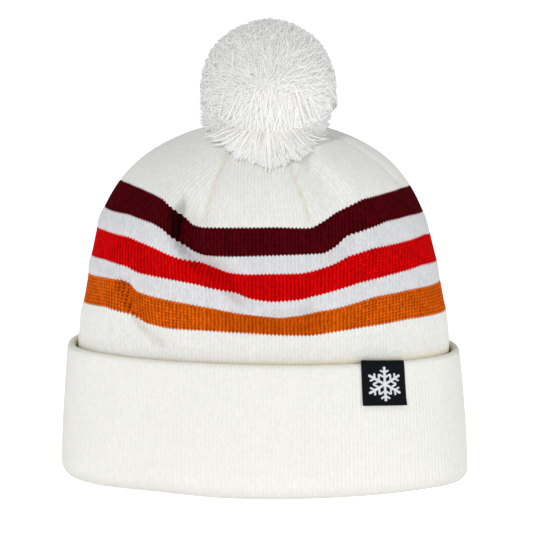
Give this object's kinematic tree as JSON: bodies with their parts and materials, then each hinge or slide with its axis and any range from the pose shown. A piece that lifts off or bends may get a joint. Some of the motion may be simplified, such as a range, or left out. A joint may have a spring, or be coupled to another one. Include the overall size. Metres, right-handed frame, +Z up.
{
  "type": "pom pom beanie",
  "caption": "Cuffed, self-lined knit winter beanie in white with maroon, red and orange stripes, a woven label on the cuff and a yarn pom-pom.",
  "frame": {"origin": "middle of the opening, on the surface that the hat stands on", "axes": "+Z up towards the pom-pom, the hat's front towards -Y, +X to the wearer's left"},
  "size_m": [0.231, 0.1214, 0.266],
  "materials": {
    "crown_knit": "fine jersey knit",
    "maroon_stripe": "fine jersey knit",
    "upper_white_band": "fine jersey knit",
    "red_stripe": "fine jersey knit",
    "lower_white_band": "fine jersey knit",
    "orange_stripe": "fine jersey knit",
    "body_base_knit": "fine jersey knit",
    "lining_knit": "fine jersey knit",
    "cuff_face_knit": "fine jersey knit",
    "cuff_back_knit": "fine jersey knit",
    "closing_yarn": "twisted yarn",
    "front_label": "woven damask label",
    "label_thread": "sewing thread",
    "care_label": "printed satin, left blank",
    "care_thread": "sewing thread",
    "pom_yarn": "cut acrylic yarn",
    "tie_yarn": "twisted yarn",
    "crown_seam": "linked knit seam",
    "lining_seam": "linked knit seam"
  },
  "bodies": {
    "cuff": {"cuff_face_knit": "cuff_face_knit", "cuff_back_knit": "cuff_back_knit", "front_label": "front_label", "front_label_stitches": "label_thread"},
    "hat_body": {"crown_knit": "crown_knit", "maroon_stripe": "maroon_stripe", "upper_white_band": "upper_white_band", "red_stripe": "red_stripe", "lower_white_band": "lower_white_band", "orange_stripe": "orange_stripe", "body_base_knit": "body_base_knit", "lining_knit": "lining_knit", "crown_closing_yarn": "closing_yarn", "lining_closing_yarn": "closing_yarn", "care_label": "care_label", "care_label_stitches": "care_thread", "anchor_yarn": "tie_yarn", "anchor_knot": "tie_yarn", "crown_seam_front_left": "crown_seam", "crown_seam_front_right": "crown_seam", "crown_seam_right": "crown_seam", "crown_seam_back_right": "crown_seam", "crown_seam_back_left": "crown_seam", "crown_seam_left": "crown_seam", "lining_seam_front_left": "lining_seam", "lining_seam_front_right": "lining_seam", "lining_seam_right": "lining_seam", "lining_seam_back_right": "lining_seam", "lining_seam_back_left": "lining_seam", "lining_seam_left": "lining_seam"},
    "pom_tie": {"pom_tie_loop": "tie_yarn"},
    "pom": {"pom_yarn_ball": "pom_yarn", "pom_binding_yarn": "tie_yarn"}
  },
  "joints": [
    {"name": "cuff_turn_down", "type": "slide", "parent": "cuff", "child": "hat_body", "axis": [0, 0, 1], "range_m": [0, 0.07]},
    {"name": "pom_tilt_side", "type": "hinge", "parent": "hat_body", "child": "pom_tie", "pos_m": [0, 0, 0.2097], "axis": [0, 1, 0], "range_deg": [-12, 12], "stiffness_Nm_per_rad": 0.05},
    {"name": "pom_tilt_fore", "type": "hinge", "parent": "pom_tie", "child": "pom", "pos_m": [0, 0, 0.2097], "axis": [1, 0, 0], "range_deg": [-12, 12], "stiffness_Nm_per_rad": 0.05}
  ]
}
